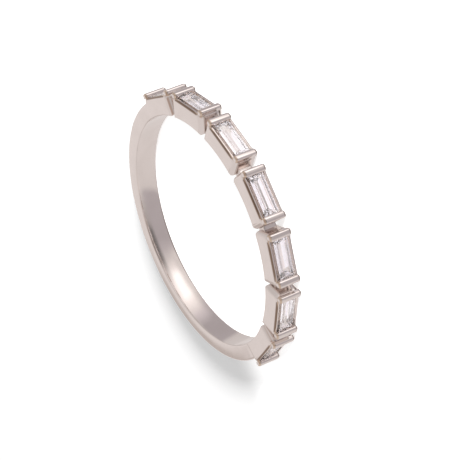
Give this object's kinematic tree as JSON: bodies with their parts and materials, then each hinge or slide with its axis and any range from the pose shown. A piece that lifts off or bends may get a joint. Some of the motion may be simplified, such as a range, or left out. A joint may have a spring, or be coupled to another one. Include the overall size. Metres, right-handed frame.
{
  "type": "baguette diamond ring",
  "caption": "Narrow half-eternity finger ring: straight baguette stones end to end along the front, each in its own box with a rounded bar over each end, on a plain tapering shank.",
  "frame": {"origin": "centre of the finger bore, halfway across the ring's width", "axes": "+Z along the finger bore, away from the side face the ring lies on; -Y from the origin to the middle stone"},
  "size_m": [0.0206, 0.0199, 0.0018],
  "materials": {
    "white_gold": "polished",
    "diamond": "polished"
  },
  "bodies": {
    "root": {"band": "white_gold", "stone_1": "diamond", "stone_2": "diamond", "stone_3": "diamond", "stone_4": "diamond", "stone_5": "diamond", "stone_6": "diamond", "stone_7": "diamond"}
  },
  "joints": []
}
